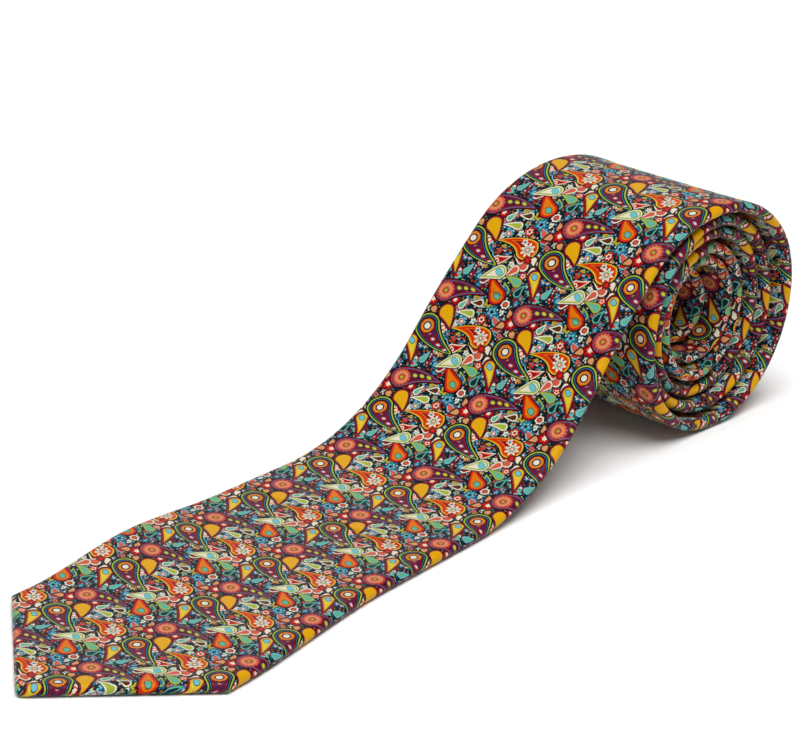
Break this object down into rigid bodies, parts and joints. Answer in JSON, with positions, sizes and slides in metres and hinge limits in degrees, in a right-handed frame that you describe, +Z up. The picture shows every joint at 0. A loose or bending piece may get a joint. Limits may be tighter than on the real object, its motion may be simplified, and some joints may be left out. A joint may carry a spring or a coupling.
{
  "type": "necktie",
  "caption": "Printed silk necktie with a wide pointed blade, rolled up from its narrow end, with the blade laid out flat in front of the roll.",
  "frame": {"origin": "centre of the object's bounding box, on the surface that the tie lies on", "axes": "+X runs along the tie from the tip of the wide blade to the roll, +Y across it, +Z up"},
  "size_m": [0.364, 0.0986, 0.0872],
  "materials": {
    "printed_silk": "printed silk twill, soft satin sheen, navy ground with red, orange, gold, teal and cream paisley",
    "interlining_wool": "brushed wool interlining, matt cream",
    "tipping_satin": "navy satin lining with a smooth sheen",
    "sewing_thread": "twisted navy silk thread",
    "label_cloth": "blank dark damask woven label",
    "care_cloth": "blank cream satin tape"
  },
  "bodies": {
    "roll": {"wound_shell": "printed_silk", "neck_shell": "printed_silk", "tail_shell": "printed_silk", "wound_interlining": "interlining_wool", "tail_interlining": "interlining_wool", "tail_tipping": "tipping_satin", "wound_slip_stitch": "sewing_thread", "tail_bar_tack": "sewing_thread"},
    "ramp": {"ramp_shell": "printed_silk", "ramp_interlining": "interlining_wool", "ramp_slip_stitch": "sewing_thread", "keeper_loop": "printed_silk", "maker_label": "label_cloth", "care_label": "care_cloth"},
    "blade": {"blade_shell": "printed_silk", "blade_interlining": "interlining_wool", "blade_slip_stitch": "sewing_thread"},
    "tip": {"tip_shell": "printed_silk", "tip_interlining": "interlining_wool", "front_tipping": "tipping_satin", "tip_slip_stitch": "sewing_thread", "front_bar_tack": "sewing_thread", "reserve_thread_loop": "sewing_thread"}
  },
  "joints": [
    {"name": "ramp_lift", "type": "hinge", "parent": "roll", "child": "ramp", "pos_m": [0.13704, 0, 0.08718], "axis": [0, 1, 0], "range_deg": [0, 35]},
    {"name": "blade_lift", "type": "hinge", "parent": "ramp", "child": "blade", "pos_m": [-0.0001, 0, 0.0041], "axis": [0, 1, 0], "range_deg": [0, 50]},
    {"name": "tip_lift", "type": "hinge", "parent": "blade", "child": "tip", "pos_m": [-0.0461, 0, 0.0041], "axis": [0, 1, 0], "range_deg": [0, 60]}
  ]
}
